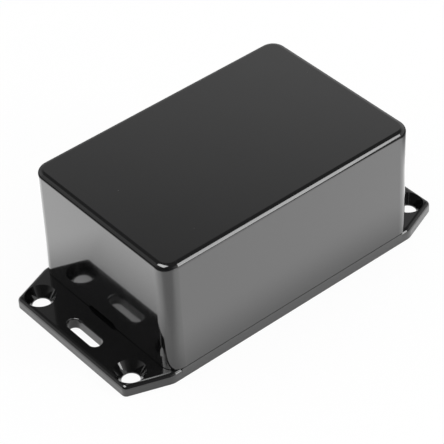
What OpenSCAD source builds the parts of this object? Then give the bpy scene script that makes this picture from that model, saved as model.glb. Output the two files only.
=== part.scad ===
// Flanged project box, moulded in ABS.
// A deep case stands mouth down on a flat lid, and the lid reaches past both of its ends as
// flanges. Four flat-head screws come up through the lid into brass inserts in the case's
// corner posts. A tongue on the lid sits in a rebate round the case's mouth.
// Origin: centre of the lid's underside. +X runs along the box, towards one flange. +Z is up.

/* [Case] */
// Length of the case at its mouth
case_length = 85; // [76:1:120]
// Width of the case at its mouth
case_width = 56; // [50:1:80]
// Height of the closed box, lid included
box_height = 38.7; // [30:0.1:55]
// Thickness of the side walls at the mouth
wall = 2.2; // [2:0.1:2.8]
// Thickness of the closed face
face_thickness = 2.4; // [2:0.1:4]
// Radius of the upright corners at the mouth
corner_r = 4.5; // [4:0.1:6]
// Radius of the edge round the closed face
face_edge_r = 1.6; // [0.8:0.1:2]
// Radius inside, where the walls meet the closed face
inner_edge_r = 0.8; // [0.3:0.1:1]
// Draft of the outer faces in degrees
outer_draft = 0.25; // [0.1:0.05:0.6]
// Draft of the inner faces in degrees
inner_draft = 0.5; // [0.2:0.05:0.8]
// Bevel round the foot of the outer walls, seen as the joint line
seam_bevel = 0.2; // [0.1:0.05:0.3]

/* [Lid and flanges] */
// Thickness of the lid and its flanges
lid_thickness = 3.3; // [3:0.1:5]
// How far each flange reaches past the case
flange_reach = 12.15; // [11.5:0.05:16]
// Straight length of each tapered side of a flange
taper_length = 11.625; // [9:0.125:12.5]
// Radius in plan of the two outer corners of a flange
tip_r = 1.5; // [1.4:0.1:3]
// Radius in plan where a tapered side leaves the long side
shoulder_r = 4.5; // [2:0.1:6]
// Radius of the flange's top edge
flange_edge_r = 1.3; // [0.4:0.1:1.3]
// Length of the long side, past the start of the corner, that stays square under the case
square_edge_run = 1.2; // [0.4:0.1:2]

/* [Fixing holes] */
// Distance from the case's end to the line of fixing holes
hole_line = 7; // [6.8:0.05:7.5]
// Spacing of the two round holes in one flange
hole_spacing = 38.8; // [34:0.1:40]
// Diameter of the round fixing holes
hole_d = 5; // [3.5:0.1:5.5]
// Diameter of their countersinks at the top
sink_d = 8.8; // [7:0.1:9]
// Straight length left below each countersink
sink_land = 0.4; // [0.3:0.1:1]
// Width of the slot between the holes
slot_width = 3.8; // [3:0.1:5]
// Length of the slot, end to end
slot_length = 13; // [9:0.1:20]
// Radius of the slot's top edge
slot_edge_r = 0.3; // [0.1:0.1:0.6]

/* [Lap joint] */
// Thickness of the case's outer rim, outside the rebate
rim_thickness = 1.1; // [0.9:0.1:1.2]
// Height of the lid's tongue
tongue_height = 1.8; // [1.4:0.1:3]
// Clearance on each side of the tongue
lap_gap = 0.1; // [0.05:0.01:0.2]
// Clearance over the tongue
lap_head_gap = 0.2; // [0.1:0.05:0.5]
// Width of the pry notch in each end wall, at the foot
notch_width = 12.2; // [8:0.1:16]
// Height of the pry notch
notch_height = 1.25; // [0.8:0.05:1.4]
// How far each notch end slopes in
notch_slope = 1.4; // [0.4:0.1:2]
// How far the notch sits from the middle of its wall
notch_shift = 1.3; // [0:0.1:2]

/* [Screws and inserts] */
// Distance from the case's outer faces to each screw's axis
post_inset = 5.2; // [5.1:0.05:5.4]
// Diameter of the corner posts at the mouth
post_d = 7.2; // [6.8:0.1:7.6]
// Thread diameter of the lid screws
screw_d = 3; // [2.5:0.1:3.2]
// Length of the lid screws
screw_length = 12; // [10:0.5:16]
// Head diameter of the lid screws
head_d = 5.6; // [5:0.1:6]
// Thickness of the head's flat rim
head_rim = 0.25; // [0.15:0.05:0.4]
// How far the heads lie below the lid's underside
head_sunk = 0.15; // [0.05:0.05:0.3]
// Reach of the cross recess across the head
recess_span = 3; // [2.4:0.1:3.4]
// Width of one arm of the cross recess
recess_arm = 0.8; // [0.6:0.05:1]
// Depth of the cross recess
recess_depth = 1.2; // [0.8:0.05:1.4]
// Clearance round the shank and the rim of the head in the lid's holes
screw_gap = 0.2; // [0.1:0.05:0.4]
// Clearance between the screw and the insert's thread
thread_gap = 0.05; // [0.02:0.01:0.1]
// Outer diameter of the brass inserts
insert_d = 4.6; // [4.4:0.1:4.8]
// Length of the inserts
insert_length = 6; // [5:0.1:8]
// Depth of the insert's knurl
knurl_depth = 0.18; // [0.1:0.02:0.25]
// Number of knurl grooves round an insert
knurl_count = 20; // [12:1:28]
// Width of the plain groove round the insert's waist
waist_width = 1.2; // [0.8:0.1:2]
// Depth of the waist groove
waist_depth = 0.35; // [0.3:0.05:0.45]
// Clearance between an insert and its post
insert_gap = 0.03; // [0.01:0.01:0.06]
// Clearance between the post ends and the lid
post_gap = 0.1; // [0.05:0.05:0.3]
// Depth of the hole left past the screw's end
hole_past_screw = 1.5; // [0.5:0.1:4]

/* [Board fittings] */
// Spacing of the board posts along the box
board_spacing_x = 54; // [40:1:56]
// Spacing of the board posts across the box
board_spacing_y = 30; // [24:1:34]
// Height of the board posts
board_post_height = 5; // [3:0.5:10]
// Diameter of the board posts
board_post_d = 5.5; // [4.5:0.1:6.5]
// Diameter of the pilot holes in the board posts
board_pilot_d = 2.4; // [2:0.1:3]
// Depth of those pilot holes
board_pilot_depth = 5.6; // [3:0.1:6]
// Thickness of a board held in the guides
board_thickness = 1.8; // [1:0.1:2.2]
// Thickness of one guide rib
rib_thickness = 1; // [0.8:0.1:1.4]
// How far the guide ribs stand out from the wall at the mouth
rib_height = 1.3; // [0.8:0.1:1.8]
// Distance from the mouth to the ends of the ribs
rib_start = 5; // [3:0.5:12]
// Number of board guides on each long wall
side_guides = 5; // [1:1:5]
// Spacing of the guides on the long walls
side_guide_pitch = 14; // [8:0.5:14]
// Number of board guides on each end wall
end_guides = 3; // [1:1:3]
// Spacing of the guides on the end walls
end_guide_pitch = 12; // [8:0.5:13]

/* [Hidden] */
$fn = 48;
CORNERS = [[-1, -1], [1, -1], [1, 1], [-1, 1]];

overlap = 0.5; // how deep ribs and posts run into the wall that carries them
through = 1; // how far a cut runs past the face it opens
case_depth = box_height - lid_thickness;
rebate_height = tongue_height + lap_head_gap;
rebate_top = lid_thickness + rebate_height;
face_inside = box_height - face_thickness;
screw_x = case_length / 2 - post_inset;
screw_y = case_width / 2 - post_inset;
screw_tip = head_sunk + screw_length;
head_r = head_d / 2;
head_rim_top = head_sunk + head_rim;
post_foot = lid_thickness + post_gap;
hole_x = case_length / 2 + hole_line;
hole_y = hole_spacing / 2;
square_edge_x = case_length / 2 - corner_r + square_edge_run;

// A flange's sides come in 44 for every 117 they run out, which is 125 along the slope
taper_dir = [117, -44] / 125;
taper_normal = [44, 117] / 125;
taper_angle = atan2(44, 117);
tip_x = case_length / 2 + flange_reach - tip_r;
shoulder_y = case_width / 2 - shoulder_r;
radius_step = (shoulder_r - tip_r) * taper_normal;
shoulder_x = tip_x - radius_step.x - taper_length * taper_dir.x;
taper_start = [shoulder_x, shoulder_y] + radius_step;
tip_y = taper_start.y + taper_length * taper_dir.y;

// Inset of a drafted face at a height above its foot, to the nearest micron
function lean(height, draft) = round(1000 * height * tan(draft)) / 1000;

// Section from a line `reach` inside the foot out to a side face, with a rounded top edge
module edge_section(reach, height, edge, draft = 0, foot = 0) {
    bend = height - edge;
    face_x = reach - lean(bend, draft);
    centre = [face_x - edge, bend];
    polygon(concat(
        [[0, 0], [reach - foot, 0]],
        foot > 0 ? [[reach, foot]] : [],
        [[face_x, bend], centre, [centre.x, height], [0, height]]));
    translate(centre) intersection() {
        circle(edge);
        square(edge);
    }
}

// Block with round upright corners, drafted sides and a rounded top edge, on z = 0
module drafted_block(length, width, height, corner, draft, edge, foot = 0) {
    run_x = length - 2 * corner;
    run_y = width - 2 * corner;
    translate([-run_x / 2, -run_y / 2, 0]) cube([run_x, run_y, height]);
    for (side = [0, 180]) rotate(side) {
        translate([run_x / 2, run_y / 2, 0]) rotate([90, 0, 0])
            linear_extrude(run_y) edge_section(corner, height, edge, draft, foot);
        translate([-run_x / 2, run_y / 2, 0]) rotate([90, 0, 90])
            linear_extrude(run_x) edge_section(corner, height, edge, draft, foot);
        translate([run_x / 2, run_y / 2, 0])
            rotate_extrude(angle = 90) edge_section(corner, height, edge, draft, foot);
        translate([-run_x / 2, run_y / 2, 0]) rotate(90)
            rotate_extrude(angle = 90) edge_section(corner, height, edge, draft, foot);
    }
}

// Upright prism with round corners, on z = 0
module rounded_prism(length, width, height, corner) {
    linear_extrude(height) {
        square([length - 2 * corner, width], center = true);
        square([length, width - 2 * corner], center = true);
        for (c = CORNERS)
            translate([c.x * (length / 2 - corner), c.y * (width / 2 - corner)]) circle(corner);
    }
}

// Prism that stands `inset` inside the outline of the case's mouth
module mouth_prism(inset, height) {
    rounded_prism(case_length - 2 * inset, case_width - 2 * inset, height, corner_r - inset);
}

// Ring between two insets from the outline of the case's mouth
module mouth_ring(outer_inset, inner_inset, height) {
    difference() {
        mouth_prism(outer_inset, height);
        translate([0, 0, -through]) mouth_prism(inner_inset, height + 2 * through);
    }
}

module at_screws() {
    for (c = CORNERS) translate([c.x * screw_x, c.y * screw_y, 0]) children();
}

module at_board_posts() {
    for (c = CORNERS)
        translate([c.x * board_spacing_x / 2, c.y * board_spacing_y / 2, 0]) children();
}

// ---- Case ----

// Outer walls and closed face, hollow, with a rebate round the inside of the mouth
module case_shell() {
    difference() {
        translate([0, 0, lid_thickness])
            drafted_block(case_length, case_width, case_depth, corner_r, outer_draft,
                face_edge_r, seam_bevel);
        translate([0, 0, rebate_top])
            drafted_block(case_length - 2 * wall, case_width - 2 * wall,
                face_inside - rebate_top, corner_r - wall, inner_draft, inner_edge_r);
        translate([0, 0, lid_thickness - through])
            mouth_prism(rim_thickness, rebate_height + through);
    }
}

// Posts for the lid screws, cut back where the lid's tongue passes
module corner_posts() {
    height = face_inside + overlap - post_foot;
    difference() {
        at_screws() translate([0, 0, post_foot])
            cylinder(d1 = post_d, d2 = post_d + 2 * lean(height, inner_draft), h = height);
        translate([0, 0, lid_thickness])
            mouth_ring(rim_thickness, wall, rebate_height);
    }
}

// Seat for an insert, then a clearance hole for the screw's end
module post_bore() {
    seat = post_foot + insert_length;
    translate([0, 0, post_foot - through])
        cylinder(r = insert_d / 2 + insert_gap, h = insert_length + through);
    translate([0, 0, seat - through])
        cylinder(r = screw_d / 2 + screw_gap, h = screw_tip + hole_past_screw - seat + through);
}

// Pair of ribs that hold a board's edge, on the wall whose inner face is `reach` along +X
module board_guide(reach) {
    foot = lid_thickness + rib_start;
    for (side = [0, 1]) mirror([0, side, 0])
        translate([reach - rib_height, board_thickness / 2, foot])
            cube([rib_height + overlap, rib_thickness, face_inside + overlap - foot]);
}

module board_guides() {
    for (turn = [0, 180]) rotate(turn) {
        for (i = [0:end_guides - 1])
            translate([0, (i - (end_guides - 1) / 2) * end_guide_pitch, 0])
                board_guide(case_length / 2 - wall);
        for (i = [0:side_guides - 1])
            translate([(i - (side_guides - 1) / 2) * side_guide_pitch, 0, 0])
                rotate(90) board_guide(case_width / 2 - wall);
    }
}

// Slot with sloping ends through the rim of the end wall on +X
module pry_notch() {
    half = notch_width / 2;
    head = half - notch_slope;
    notch_top = lid_thickness + notch_height;
    translate([case_length / 2 - rim_thickness - overlap, notch_shift, 0]) rotate([90, 0, 90])
        linear_extrude(rim_thickness + overlap + through) polygon([
            [-half, lid_thickness - through],
            [half, lid_thickness - through],
            [half, lid_thickness],
            [head, notch_top],
            [-head, notch_top],
            [-half, lid_thickness]]);
}

module case() {
    color([0.02, 0.02, 0.022]) difference() {
        union() {
            case_shell();
            corner_posts();
            board_guides();
            at_board_posts() translate([0, 0, face_inside - board_post_height])
                cylinder(d = board_post_d, h = board_post_height + overlap);
        }
        at_screws() post_bore();
        at_board_posts() translate([0, 0, face_inside - board_post_height - through])
            cylinder(d = board_pilot_d, h = board_pilot_depth + through);
        for (side = [0, 1]) mirror([side, 0, 0]) pry_notch();
    }
}

// ---- Lid ----

module flange_edge_section(reach) {
    edge_section(reach, lid_thickness, flange_edge_r);
}

// Corner of a flange between two outward directions, as a slice of a turned post
module flange_corner(radius, from, to) {
    intersection() {
        rotate_extrude() flange_edge_section(radius);
        translate([0, 0, -through]) linear_extrude(lid_thickness + 2 * through)
            polygon([[0, 0], 2 * radius * from, 2 * radius * to]);
    }
}

// Long side, shoulder, tapered side and tip of the +Y half of the flange on +X
module flange_side() {
    translate([square_edge_x, shoulder_y, 0]) rotate([90, 0, 90])
        linear_extrude(shoulder_x - square_edge_x) flange_edge_section(shoulder_r);
    translate([shoulder_x, shoulder_y, 0])
        flange_corner(shoulder_r, taper_normal, [0, 1]);
    translate(taper_start) rotate(-taper_angle) rotate([90, 0, 90])
        linear_extrude(taper_length) flange_edge_section(tip_r);
    translate([tip_x, tip_y, 0])
        flange_corner(tip_r, [1, 0], taper_normal);
}

// One flange, on +X, from where its edge turns round out to its end
module flange() {
    for (side = [0, 1]) mirror([0, side, 0]) flange_side();
    translate([tip_x, tip_y, 0]) rotate([90, 0, 0])
        linear_extrude(2 * tip_y) flange_edge_section(tip_r);
    linear_extrude(lid_thickness) polygon([
        [square_edge_x, -shoulder_y],
        [shoulder_x, -shoulder_y],
        [taper_start.x, -taper_start.y],
        [tip_x, -tip_y],
        [tip_x, tip_y],
        taper_start,
        [shoulder_x, shoulder_y],
        [square_edge_x, shoulder_y]]);
}

// Hole for a fixing screw, countersunk from the top
module fixing_hole() {
    rotate_extrude() polygon([
        [0, -through],
        [hole_d / 2, -through],
        [hole_d / 2, sink_land],
        [sink_d / 2, lid_thickness],
        [sink_d / 2, lid_thickness + through],
        [0, lid_thickness + through]]);
}

// Half of the slot's section, flared where it meets the top
module slot_section() {
    half = slot_width / 2;
    bend = lid_thickness - slot_edge_r;
    translate([0, -through]) square([half, lid_thickness + 2 * through]);
    difference() {
        translate([half - overlap, bend])
            square([overlap + slot_edge_r, slot_edge_r + through]);
        translate([half + slot_edge_r, bend]) circle(slot_edge_r);
    }
}

// Round-ended slot, its length across the box
module fixing_slot() {
    run = slot_length - slot_width;
    for (turn = [0, 180]) rotate(turn) {
        translate([0, run / 2, 0]) rotate_extrude(angle = 180) slot_section();
        translate([0, run / 2, 0]) rotate([90, 0, 0]) linear_extrude(run) slot_section();
    }
}

// Hole for a lid screw, whose cone is the seat of the screw's head
module lid_hole() {
    shank = screw_d / 2 + screw_gap;
    rotate_extrude() polygon([
        [0, -through],
        [head_r + screw_gap, -through],
        [head_r + screw_gap, head_rim_top - screw_gap],
        [shank, head_rim_top + head_r - shank],
        [shank, lid_thickness + through],
        [0, lid_thickness + through]]);
}

module flanged_lid() {
    color([0.02, 0.02, 0.022]) difference() {
        union() {
            translate([-square_edge_x, -case_width / 2, 0])
                cube([2 * square_edge_x, case_width, lid_thickness]);
            for (turn = [0, 180]) rotate(turn) flange();
            translate([0, 0, lid_thickness - overlap])
                mouth_ring(rim_thickness + lap_gap, wall - lap_gap, tongue_height + overlap);
        }
        for (turn = [0, 180]) rotate(turn) translate([hole_x, 0, 0]) {
            for (side = [-1, 1]) translate([0, side * hole_y, 0]) fixing_hole();
            fixing_slot();
        }
        at_screws() lid_hole();
    }
}

// ---- Fasteners ----

// Flat-head screw, head down
module lid_screw() {
    shank = screw_d / 2;
    tip = shank / 3;
    color([0.62, 0.63, 0.64]) difference() {
        rotate_extrude() polygon([
            [0, head_sunk],
            [head_r, head_sunk],
            [head_r, head_rim_top],
            [shank, head_rim_top + head_r - shank],
            [shank, screw_tip - tip],
            [shank - tip, screw_tip],
            [0, screw_tip]]);
        translate([0, 0, head_sunk]) cross_recess();
    }
}

// Cross recess whose arms narrow towards the bottom
module cross_recess() {
    half = recess_span / 2;
    floor_half = recess_arm / 2;
    for (turn = [0, 90]) rotate([90, 0, turn]) translate([0, 0, -recess_arm / 2])
        linear_extrude(recess_arm) polygon([
            [-half, -through],
            [half, -through],
            [half, 0],
            [floor_half, recess_depth],
            [-floor_half, recess_depth],
            [-half, 0]]);
}

// Straight knurled brass insert with a plain waist
module insert() {
    band = (insert_length - waist_width) / 2;
    waist_r = insert_d / 2 - waist_depth;
    color([0.78, 0.6, 0.25]) translate([0, 0, post_foot]) difference() {
        union() {
            cylinder(r = waist_r, h = insert_length);
            for (foot = [0, insert_length - band]) translate([0, 0, foot])
                linear_extrude(band) knurled_disc();
        }
        translate([0, 0, -through])
            cylinder(r = screw_d / 2 + thread_gap, h = insert_length + 2 * through);
    }
}

module knurled_disc() {
    difference() {
        circle(insert_d / 2);
        for (i = [0:knurl_count - 1])
            rotate(i * 360 / knurl_count) translate([insert_d / 2, 0]) rotate(45)
                square(knurl_depth * sqrt(2), center = true);
    }
}

case();
flanged_lid();
for (i = [0:3]) translate([CORNERS[i].x * screw_x, CORNERS[i].y * screw_y, 0]) {
    lid_screw();
    insert();
}
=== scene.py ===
"""Flanged project box: glossy black moulded case and lid, steel screws and brass inserts.

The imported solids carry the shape. This script gives them their finishes, and sets up the
table, the studio light and the camera.
"""

from __future__ import annotations

import logging
import math
from dataclasses import dataclass
from enum import Enum
from typing import Any, Union

import bpy
from mathutils import Matrix, Quaternion, Vector


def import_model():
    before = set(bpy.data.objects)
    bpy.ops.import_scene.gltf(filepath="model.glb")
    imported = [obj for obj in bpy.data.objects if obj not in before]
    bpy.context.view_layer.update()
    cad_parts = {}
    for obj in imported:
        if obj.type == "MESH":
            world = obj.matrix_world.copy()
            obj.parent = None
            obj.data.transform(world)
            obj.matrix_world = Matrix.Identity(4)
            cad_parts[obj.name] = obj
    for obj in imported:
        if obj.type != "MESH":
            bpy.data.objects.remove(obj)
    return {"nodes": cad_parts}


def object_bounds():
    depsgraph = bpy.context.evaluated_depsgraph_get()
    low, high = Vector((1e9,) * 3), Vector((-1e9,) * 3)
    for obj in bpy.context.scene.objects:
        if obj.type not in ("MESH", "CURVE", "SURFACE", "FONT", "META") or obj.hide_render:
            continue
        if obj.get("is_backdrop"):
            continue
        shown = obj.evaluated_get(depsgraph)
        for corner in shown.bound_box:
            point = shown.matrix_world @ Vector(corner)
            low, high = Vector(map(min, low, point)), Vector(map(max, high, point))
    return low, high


LOG = logging.getLogger("project_box")
MM = 0.001

Number = Union[int, float]
Triple = tuple[float, float, float]
WHITE = (1.0, 1.0, 1.0, 1.0)


class Ray(Enum):
    """Kinds of ray that the Light Path node tells apart."""

    CAMERA = "Is Camera Ray"
    GLOSSY = "Is Glossy Ray"
    TRANSMISSION = "Is Transmission Ray"


class Signal:
    """An output socket, with arithmetic that adds Math nodes."""

    def __init__(self, bench: "Bench", socket: bpy.types.NodeSocket) -> None:
        """Wrap a socket.

        Args:
            bench: The bench that holds the socket's node.
            socket: The output socket.
        """
        self.bench = bench
        self.socket = socket

    def __add__(self, other: Union["Signal", Number]) -> "Signal":
        """Return self + other."""
        return self.bench.math("ADD", self, other)

    __radd__ = __add__

    def __mul__(self, other: Union["Signal", Number]) -> "Signal":
        """Return self * other."""
        return self.bench.math("MULTIPLY", self, other)

    __rmul__ = __mul__

    def __sub__(self, other: Union["Signal", Number]) -> "Signal":
        """Return self - other."""
        return self.bench.math("SUBTRACT", self, other)

    def __rsub__(self, other: Number) -> "Signal":
        """Return other - self."""
        return self.bench.math("SUBTRACT", other, self)

    def __truediv__(self, other: Union["Signal", Number]) -> "Signal":
        """Return self / other."""
        return self.bench.math("DIVIDE", self, other)

    def __rtruediv__(self, other: Number) -> "Signal":
        """Return other / self."""
        return self.bench.math("DIVIDE", other, self)

    def rise(self, low: Number, high: Number) -> "Signal":
        """Return a smooth rise from 0 at low to 1 at high.

        Args:
            low: Value that gives 0.
            high: Value that gives 1.

        Returns:
            The clamped rise.
        """
        return self.bench.add(
            "ShaderNodeMapRange",
            {"interpolation_type": "SMOOTHSTEP", "clamp": True},
            {"Value": self, "From Min": low, "From Max": high},
        )


class Bench:
    """A node tree, and the one method that adds any node to it."""

    def __init__(self, tree: bpy.types.NodeTree) -> None:
        """Start from an empty tree.

        Args:
            tree: Node tree of a material or of the world.
        """
        self.tree = tree
        tree.nodes.clear()

    def add(
        self,
        kind: str,
        settings: dict[str, Any] | None = None,
        inputs: dict[int | str, Any] | None = None,
        out: int | str = 0,
    ) -> Signal:
        """Add a node.

        Args:
            kind: The node's type.
            settings: Properties of the node, set first.
            inputs: Values or links of its input sockets, by number or name.
            out: Number or name of the output to return.

        Returns:
            The chosen output.
        """
        node = self.tree.nodes.new(kind)
        for name, value in (settings or {}).items():
            if name == "stops":
                self.set_stops(node.color_ramp.elements, value)
            else:
                setattr(node, name, value)
        for key, value in (inputs or {}).items():
            socket = node.inputs[key]
            if isinstance(value, Signal):
                self.tree.links.new(value.socket, socket)
            else:
                socket.default_value = value
        return Signal(self, node.outputs[out] if len(node.outputs) else None)

    def math(self, operation: str, *values: Signal | Number) -> Signal:
        """Add a Math node.

        Args:
            operation: The node's operation.
            values: Its inputs, in order.

        Returns:
            The node's output.
        """
        return self.add("ShaderNodeMath", {"operation": operation}, dict(enumerate(values)))

    @staticmethod
    def set_stops(elements: Any, stops: list[tuple[float, tuple[float, ...]]]) -> None:
        """Set a ramp's stops.

        Args:
            elements: The ramp's elements.
            stops: Position and colour of each stop, in order.
        """
        while len(elements) < len(stops):
            elements.new(1.0)
        for element, (position, colour) in zip(elements, stops):
            element.position = position
            element.color = colour

    def output(self, signal: Signal, out: int | str) -> Signal:
        """Return another output of the node that a signal comes from."""
        return Signal(self, signal.socket.node.outputs[out])

    def parts(self, vector: Signal) -> tuple[Signal, Signal, Signal]:
        """Return the x, y and z of a vector."""
        x = self.add("ShaderNodeSeparateXYZ", {}, {0: vector})
        return x, self.output(x, 1), self.output(x, 2)

    def place(self) -> Signal:
        """Return the position on the part, in millimetres."""
        metres = self.add("ShaderNodeTexCoord", out="Object")
        values = {0: metres, "Scale": 1 / MM}
        return self.add("ShaderNodeVectorMath", {"operation": "SCALE"}, values)

    def stretched(self, place: Signal, factors: Triple) -> Signal:
        """Return a position with each axis scaled."""
        return self.add("ShaderNodeVectorMath", {"operation": "MULTIPLY"}, {0: place, 1: factors})

    def turned(self, place: Signal, angles: Triple) -> Signal:
        """Return a position turned about the three axes, in degrees."""
        return self.add(
            "ShaderNodeVectorRotate",
            {"rotation_type": "EULER_XYZ"},
            {"Vector": place, "Rotation": tuple(math.radians(a) for a in angles)},
        )

    def noise(
        self, place: Signal, pitch: Number, detail: Number = 2.0, rough: Number = 0.5
    ) -> Signal:
        """Add noise.

        Args:
            place: The position.
            pitch: Distance between its features, in the position's unit.
            detail: Number of finer layers.
            rough: Strength of the finer layers.

        Returns:
            Noise about 0.5.
        """
        values = {"Vector": place, "Scale": 1 / pitch, "Detail": detail, "Roughness": rough}
        return self.add("ShaderNodeTexNoise", {"noise_dimensions": "3D"}, values, "Fac")

    def specks(self, place: Signal, pitch: Number, radius: Number, share: Number) -> Signal:
        """Scatter small specks.

        Args:
            place: The position.
            pitch: Size of the cells that may hold a speck.
            radius: Largest radius of a speck, as a share of the pitch.
            share: Share of the cells that hold one.

        Returns:
            1 on a speck, with a soft rim, and 0 elsewhere.
        """
        cells = {"Vector": place, "Scale": 1 / pitch}
        distance = self.add("ShaderNodeTexVoronoi", {"feature": "F1"}, cells, "Distance")
        lot = self.add("ShaderNodeSeparateColor", {}, {0: self.output(distance, "Color")}, 0)
        held = lot.rise(1 - share, 1 - share + 0.001)
        size = self.output(lot, 1) * radius
        return (1 - (distance / (size + 0.0001)).rise(0.6, 1.0)) * held

    def tint(self, share: Signal, low: Triple, high: Triple) -> Signal:
        """Mix two colours.

        Args:
            share: 0 for the first colour, 1 for the second.
            low: First colour.
            high: Second colour.

        Returns:
            The mixed colour.
        """
        values = {0: share, 6: (*low, 1.0), 7: (*high, 1.0)}
        return self.add("ShaderNodeMix", {"data_type": "RGBA"}, values, 2)

    def bump(self, height: Signal, distance: Number, strength: Number = 1.0) -> Signal:
        """Turn a height into a normal.

        Args:
            height: The height, from 0 to 1.
            distance: Rise for a height of 1, in metres.
            strength: Share of the effect.

        Returns:
            The normal.
        """
        values = {"Height": height, "Distance": distance, "Strength": strength}
        return self.add("ShaderNodeBump", {}, values)

    def mix(self, share: Signal, first: Signal, second: Signal) -> Signal:
        """Mix two shaders; a share of 1 gives the second."""
        return self.add("ShaderNodeMixShader", {}, {0: share, 1: first, 2: second})

    def skin(self, inputs: dict[int | str, Any]) -> None:
        """Add a Principled shader and link it to the material's output."""
        self.surface(self.add("ShaderNodeBsdfPrincipled", {}, inputs))

    def surface(self, shader: Signal, kind: str = "ShaderNodeOutputMaterial") -> None:
        """Link a shader to the tree's output."""
        self.add(kind, {}, {"Surface": shader})


def new_material(name: str) -> tuple[bpy.types.Material, Bench]:
    """Make an empty node material.

    Args:
        name: The material's name.

    Returns:
        The material and the bench of its tree.
    """
    material = bpy.data.materials.new(name)
    material.use_nodes = True
    return material, Bench(material.node_tree)


@dataclass(frozen=True)
class Scatter:
    """Small marks scattered over a surface: round specks, or hairlines where it is stretched."""

    pitch: float
    radius: float
    share: float
    turn: Triple = (0.0, 0.0, 0.0)
    stretch: Triple | None = None

    def mask(self, bench: Bench, place: Signal) -> Signal:
        """Return 1 on a mark and 0 elsewhere.

        Args:
            bench: The bench of the material's tree.
            place: The position, in millimetres.

        Returns:
            The mask.
        """
        if self.stretch:
            place = bench.stretched(bench.turned(place, self.turn), self.stretch)
        return bench.specks(place, self.pitch, self.radius, self.share)


@dataclass(frozen=True)
class GlossAbs:
    """Black ABS from a polished mould, with faint flow lines, hairline scratches and dust."""

    name: str
    colour: Triple = (0.0060, 0.0060, 0.0063)
    dust_colour: Triple = (0.13, 0.125, 0.12)
    refraction: float = 1.5
    coat_roughness: float = 0.018
    roughness: float = 0.09
    haze_roughness: float = 0.05
    flow_roughness: float = 0.03
    scratch_roughness: float = 0.2
    dust_roughness: float = 0.5
    scratch_loss: float = 0.35
    dust_loss: float = 0.9
    flow_stretch: Triple = (1.0, 1.0, 0.04)
    flow_pitch: float = 2.2
    haze_pitch: float = 11.0
    wave_pitch: float = 26.0
    wave_rise: float = 0.00004
    dust: Scatter = Scatter(2.4, 0.075, 0.10)
    hairs: Scatter = Scatter(1.6, 0.05, 0.10, (8.0, 17.0, 31.0), (0.02, 1.0, 1.0))
    cross_hairs: Scatter = Scatter(2.3, 0.035, 0.08, (-14.0, 71.0, -24.0), (0.03, 1.0, 1.0))

    def make(self) -> bpy.types.Material:
        """Return the material."""
        material, bench = new_material(self.name)
        place = bench.place()
        flow = bench.noise(bench.stretched(place, self.flow_stretch), self.flow_pitch, 3.0)
        hairs = self.hairs.mask(bench, place)
        scratch = bench.math("MAXIMUM", hairs, self.cross_hairs.mask(bench, place))
        dust = self.dust.mask(bench, place)
        haze = bench.noise(place, self.haze_pitch, 4.0).rise(0.35, 0.75)
        wave = bench.noise(place, self.wave_pitch, 1.0)
        smooth = self.roughness + haze * self.haze_roughness
        smooth = smooth + flow.rise(0.4, 0.8) * self.flow_roughness
        bench.skin(
            {
                "Base Color": bench.tint(dust, self.colour, self.dust_colour),
                "Roughness": smooth + scratch * self.scratch_roughness + dust * self.dust_roughness,
                "IOR": self.refraction,
                "Coat Weight": 1 - scratch * self.scratch_loss - dust * self.dust_loss,
                "Coat Roughness": self.coat_roughness,
                "Coat IOR": self.refraction,
                "Normal": bench.bump(wave, self.wave_rise),
            }
        )
        return material


@dataclass(frozen=True)
class ZincSteel:
    """Bright zinc-plated steel with fine turning marks."""

    name: str
    colour: Triple = (0.60, 0.60, 0.585)
    worn: Triple = (0.42, 0.415, 0.40)
    cloud_pitch: float = 1.4
    grit_pitch: float = 0.12
    grit_rise: float = 0.000008

    def make(self) -> bpy.types.Material:
        """Return the material."""
        material, bench = new_material(self.name)
        place = bench.place()
        cloud = bench.noise(place, self.cloud_pitch, 4.0)
        grit = bench.noise(place, self.grit_pitch, 2.0)
        bench.skin(
            {
                "Base Color": bench.tint(cloud.rise(0.4, 0.7), self.colour, self.worn),
                "Metallic": 1.0,
                "Roughness": 0.24 + cloud * 0.14 + grit * 0.06,
                "Normal": bench.bump(grit, self.grit_rise),
            }
        )
        return material


@dataclass(frozen=True)
class TurnedBrass:
    """Turned brass, slightly dulled."""

    name: str
    colour: Triple = (0.72, 0.50, 0.20)
    dull: Triple = (0.44, 0.30, 0.13)
    cloud_pitch: float = 1.1
    grit_pitch: float = 0.10
    grit_rise: float = 0.000006

    def make(self) -> bpy.types.Material:
        """Return the material."""
        material, bench = new_material(self.name)
        place = bench.place()
        cloud = bench.noise(place, self.cloud_pitch, 4.0)
        grit = bench.noise(place, self.grit_pitch, 2.0)
        bench.skin(
            {
                "Base Color": bench.tint(cloud.rise(0.45, 0.75), self.colour, self.dull),
                "Metallic": 1.0,
                "Roughness": 0.26 + cloud * 0.18,
                "Normal": bench.bump(grit, self.grit_rise),
            }
        )
        return material


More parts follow.
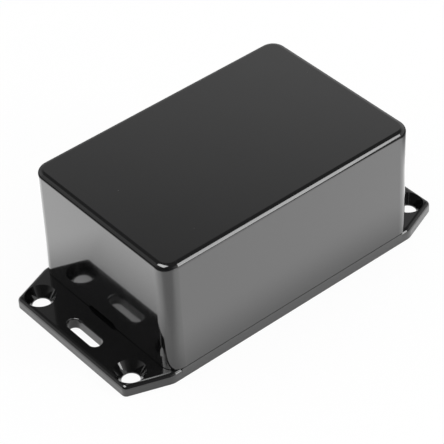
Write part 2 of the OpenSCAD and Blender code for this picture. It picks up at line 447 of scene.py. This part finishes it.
@dataclass(frozen=True)
class TableTop:
    """Plain white table. In the gloss of the box it shows as a lit white sheet on a dim bench, with
    painted shade at the box's foot and in front of its near corner.
    """

    name: str
    colour: float = 0.9
    seen_glow: float = 0.93
    seen_colour: float = 0.10
    mirrored_glow: float = 0.90
    bench_level: float = 0.14
    sheet_low: tuple[float, float] = (-92.0, -900.0)
    sheet_high: tuple[float, float] = (80.0, 84.0)
    sheet_blur: float = 12.0
    lid_half: tuple[float, float] = (54.6, 28.0)
    taper_way: tuple[float, float] = (0.352, 0.936)
    taper_reach: float = 41.35
    foot_start: float = -2.0
    foot_width: float = 16.0
    foot_shade: float = 0.65
    near_corner: tuple[float, float] = (-42.0, -28.0)
    corner_blur: tuple[float, float] = (-8.0, 14.0)
    corner_shade: float = 0.6

    def make(self) -> bpy.types.Material:
        """Return the material."""
        material, bench = new_material(self.name)
        rays = bench.add("ShaderNodeLightPath", out=Ray.CAMERA.value)
        glossy = bench.output(rays, Ray.GLOSSY.value)
        mirrored = bench.math("MAXIMUM", glossy, bench.output(rays, Ray.TRANSMISSION.value))
        x, y = bench.parts(bench.place())[:2]
        plain = self.matt(bench, self.colour)
        dark = bench.add("ShaderNodeEmission", {}, {"Strength": 0.0})
        glow = bench.add("ShaderNodeEmission", {}, {"Strength": self.mirrored_glow})
        # The glow seen in the gloss carries painted shade at the box's foot and in front of its
        # near corner.
        shaded = bench.mix(self.shade(x, y), dark, glow)
        bright = bench.add("ShaderNodeAddShader", {}, {0: plain, 1: shaded})
        lit = bench.mix(self.sheet(x, y), self.matt(bench, self.bench_level), bright)
        white = bench.add("ShaderNodeEmission", {}, {"Strength": self.seen_glow})
        pale = self.matt(bench, self.seen_colour)
        seen = bench.add("ShaderNodeAddShader", {}, {0: pale, 1: white})
        upper = bench.mix(rays, bench.mix(mirrored, plain, lit), seen)
        below = bench.add("ShaderNodeNewGeometry", out="Backfacing")
        bench.surface(bench.mix(below, upper, bench.add("ShaderNodeBsdfTransparent")))
        return material

    @staticmethod
    def matt(bench: Bench, level: float) -> Signal:
        """Return a matt grey shader."""
        return bench.add("ShaderNodeBsdfDiffuse", {}, {"Color": (level, level, level, 1.0)})

    def sheet(self, x: Signal, y: Signal) -> Signal:
        """Return 1 on the lit sheet and 0 beyond it.

        Args:
            x: Position along the box, in millimetres.
            y: Position across the box, in millimetres.

        Returns:
            The soft-edged mask.
        """
        ends = (-self.sheet_blur, self.sheet_blur)
        low = (x - self.sheet_low[0]).rise(*ends) * (y - self.sheet_low[1]).rise(*ends)
        return low * (self.sheet_high[0] - x).rise(*ends) * (self.sheet_high[1] - y).rise(*ends)

    def shade(self, x: Signal, y: Signal) -> Signal:
        """Return how much of the sheet's glow is left beside the box, where shade is painted into
        it.

        Args:
            x: Position along the box, in millimetres.
            y: Position across the box, in millimetres.

        Returns:
            1 in the open, less at the box's foot and in front of its near corner, where the shade
            is painted.
        """
        bench = x.bench
        along, across = bench.math("ABSOLUTE", x), bench.math("ABSOLUTE", y)
        taper = along * self.taper_way[0] + across * self.taper_way[1] - self.taper_reach
        outside = bench.math("MAXIMUM", along - self.lid_half[0], across - self.lid_half[1])
        outside = bench.math("MAXIMUM", outside, taper)
        # Painted shade at the box's foot.
        foot = 1 - outside.rise(self.foot_start, self.foot_width)
        left, front = self.near_corner
        # Painted shade in front of the box's near corner.
        corner = bench.math("MINIMUM", left - x, front - y).rise(*self.corner_blur)
        return (1 - foot * self.foot_shade) * (1 - corner * self.corner_shade)


class SubAssembly:
    """Pieces of one kind that take one finish."""

    nodes: tuple[str, ...] = ()

    def finish(self) -> bpy.types.Material:
        """Return the finish of the pieces."""
        raise NotImplementedError

    def dress(self, solids: dict[str, bpy.types.Object]) -> None:
        """Give the pieces their finish.

        Args:
            solids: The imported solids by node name.
        """
        material = self.finish()
        for name in self.nodes:
            for slot in solids[name].material_slots:
                slot.material = material
            LOG.info("%s: %s", name, material.name)


@dataclass
class Case(SubAssembly):
    """The five-sided moulded case."""

    nodes: tuple[str, ...] = ("case",)

    def finish(self) -> bpy.types.Material:
        """Return the case's gloss black."""
        return GlossAbs("case_gloss_abs").make()


@dataclass
class FlangedLid(SubAssembly):
    """The lid with its two mounting flanges."""

    nodes: tuple[str, ...] = ("flanged_lid",)

    def finish(self) -> bpy.types.Material:
        """Return the lid's gloss black."""
        return GlossAbs("lid_gloss_abs").make()


@dataclass
class LidScrews(SubAssembly):
    """The four screws that hold the lid."""

    count: int = 4

    def __post_init__(self) -> None:
        """Name the screws."""
        self.nodes = tuple(f"lid_screw_{i + 1}" for i in range(self.count))

    def finish(self) -> bpy.types.Material:
        """Return the screws' zinc."""
        return ZincSteel("screw_zinc_steel").make()


@dataclass
class Inserts(SubAssembly):
    """The four threaded inserts in the case's corner posts."""

    count: int = 4

    def __post_init__(self) -> None:
        """Name the inserts."""
        self.nodes = tuple(f"insert_{i + 1}" for i in range(self.count))

    def finish(self) -> bpy.types.Material:
        """Return the inserts' brass."""
        return TurnedBrass("insert_turned_brass").make()


@dataclass
class Table:
    """The table that the box stands on."""

    half_width: float = 3.0
    cells: int = 12
    drop: float = 0.00002

    def build(self, height: float) -> bpy.types.Object:
        """Build the table top.

        Args:
            height: Height of the box's underside.

        Returns:
            The table.
        """
        step = 2 * self.half_width / self.cells
        line = range(self.cells + 1)
        places = [i * step - self.half_width for i in line]
        points = [(x, y, height - self.drop) for y in places for x in places]
        row = self.cells + 1
        faces = [
            (j * row + i, j * row + i + 1, (j + 1) * row + i + 1, (j + 1) * row + i)
            for j in range(self.cells)
            for i in range(self.cells)
        ]
        mesh = bpy.data.meshes.new("table_top")
        mesh.from_pydata(points, [], faces)
        table = bpy.data.objects.new("table_top", mesh)
        bpy.context.collection.objects.link(table)
        mesh.materials.append(TableTop("table_white").make())
        table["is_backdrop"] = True
        LOG.info("table_top: %d faces", len(faces))
        return table


@dataclass(frozen=True)
class Softbox:
    """A rectangular studio lamp that points at the box."""

    name: str
    towards: tuple[float, float]
    distance: float
    width: float
    height: float
    radiance: float
    lights_room: bool = True
    lean: float = 0.0

    def build(self, target: Vector) -> None:
        """Build the lamp.

        Args:
            target: The point that it faces.
        """
        data = bpy.data.lights.new(self.name, "AREA")
        data.shape = "RECTANGLE"
        data.size = self.width
        data.size_y = self.height
        data.energy = math.pi * self.width * self.height * self.radiance
        lamp = bpy.data.objects.new(self.name, data)
        away = Vector(compass(*self.towards)).normalized()
        lamp.location = target + away * self.distance
        lean = Quaternion((0.0, 0.0, 1.0), math.radians(self.lean))
        lamp.rotation_euler = (away.to_track_quat("Z", "Y") @ lean).to_euler()
        lamp.visible_camera = False
        lamp.visible_diffuse = self.lights_room
        bpy.context.collection.objects.link(lamp)
        LOG.info("%s: radiance %.2f", self.name, self.radiance)


@dataclass
class Studio:
    """The room around the table, and its two softboxes."""

    fill: float = 0.60
    ceiling: float = 0.10
    wall_top: tuple[float, float] = (33.0, 47.5)
    walls: tuple[tuple[float, float], ...] = (
        (0, 0.30),
        (18, 0.32),
        (30, 0.42),
        (45, 0.60),
        (75, 0.57),
        (100, 0.45),
        (165, 0.50),
        (190, 0.12),
        (225, 0.04),
        (265, 0.05),
        (290, 0.20),
        (312, 0.34),
        (330, 0.50),
        (345, 0.44),
        (359, 0.30),
    )

    lamps: tuple[Softbox, ...] = (
        Softbox("softbox_front_right", (148.0, 24.0), 0.9, 0.21, 0.80, 4.5, lean=-18.0),
        Softbox("softbox_high_left", (275.0, 60.0), 1.0, 0.78, 0.66, 6.0, lights_room=False),
    )

    def build(self, target: Vector) -> None:
        """Build the lamps and the room.

        Args:
            target: The middle of the box.
        """
        for lamp in self.lamps:
            lamp.build(target)
        world = bpy.data.worlds.new("room")
        world.use_nodes = True
        bpy.context.scene.world = world
        bench = Bench(world.node_tree)
        rays = bench.add("ShaderNodeLightPath", out=Ray.CAMERA.value)
        dark, plain, white = (self.backdrop(bench, level) for level in (0.0, self.fill, 1.0))
        mirrored = bench.mix(self.room(bench), dark, white)
        other = bench.mix(bench.output(rays, Ray.GLOSSY.value), plain, mirrored)
        bench.surface(bench.mix(rays, other, white), "ShaderNodeOutputWorld")

    @staticmethod
    def backdrop(bench: Bench, level: float) -> Signal:
        """Return an even white backdrop of one strength."""
        return bench.add("ShaderNodeBackground", {}, {"Strength": level, "Color": WHITE})

    def room(self, bench: Bench) -> Signal:
        """Return the brightness of the room's walls and ceiling.

        Args:
            bench: The bench of the world's tree.

        Returns:
            The brightness, 1 for white.
        """
        x, y, z = bench.parts(bench.add("ShaderNodeTexCoord", out="Generated"))
        turn = bench.math("FRACT", bench.math("ARCTAN2", x, y) / math.tau)
        stops = [(angle / 360.0, (level, level, level, 1.0)) for angle, level in self.walls]
        wall = bench.add("ShaderNodeValToRGB", {"stops": stops}, {0: turn})
        lift = bench.math("ARCSINE", z) * math.degrees(1.0)
        high = lift.rise(*self.wall_top)
        return wall * (1 - high) + high * self.ceiling


@dataclass
class Viewpoint:
    """The camera."""

    azimuth: float = 38.3813
    elevation: float = 40.5842
    roll: float = -2.8687
    distance: float = 560.0676 * MM
    target: Triple = (-5.7278 * MM, -5.2368 * MM, 19.35 * MM)
    sensor: float = 36.0
    frame_widths: float = 2103.88 / 444.0

    def build(self) -> bpy.types.Object:
        """Build the camera and make it the scene's.

        Returns:
            The camera.
        """
        lean = math.radians(self.roll)
        ahead = Vector(compass(self.azimuth, -self.elevation))
        right = ahead.cross(Vector((0.0, 0.0, 1.0))).normalized()
        up = right.cross(ahead)
        across = right * math.cos(lean) + up * math.sin(lean)
        above = up * math.cos(lean) - right * math.sin(lean)
        data = bpy.data.cameras.new("viewpoint")
        data.sensor_width = self.sensor
        data.lens = self.sensor * self.frame_widths
        data.clip_start = 0.01
        camera = bpy.data.objects.new("viewpoint", data)
        axes = Matrix((across, above, -ahead)).transposed().to_4x4()
        axes.translation = Vector(self.target) - ahead * self.distance
        camera.matrix_world = axes
        bpy.context.collection.objects.link(camera)
        bpy.context.scene.camera = camera
        LOG.info("viewpoint: lens %.2f mm", data.lens)
        return camera


def compass(turn: float, lift: float) -> Triple:
    """Return a direction.

    Args:
        turn: Degrees from +Y towards +X.
        lift: Degrees above the table.

    Returns:
        The unit direction.
    """
    turn, lift = math.radians(turn), math.radians(lift)
    return (math.sin(turn) * math.cos(lift), math.cos(turn) * math.cos(lift), math.sin(lift))


def main() -> None:
    """Load the frame, dress the pieces and set up the table, the light and the camera."""
    logging.basicConfig(level=logging.INFO, format="%(name)s %(message)s")
    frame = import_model()
    cad_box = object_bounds()
    Viewpoint().build()
    for assembly in (Case(), FlangedLid(), LidScrews(), Inserts()):
        assembly.dress(frame["nodes"])
    low, high = (Vector(corner) for corner in cad_box)
    Table().build(low.z)
    Studio().build((low + high) / 2)
    scene = bpy.context.scene
    scene.view_settings.view_transform = "Standard"


if __name__ == "__main__":
    main()
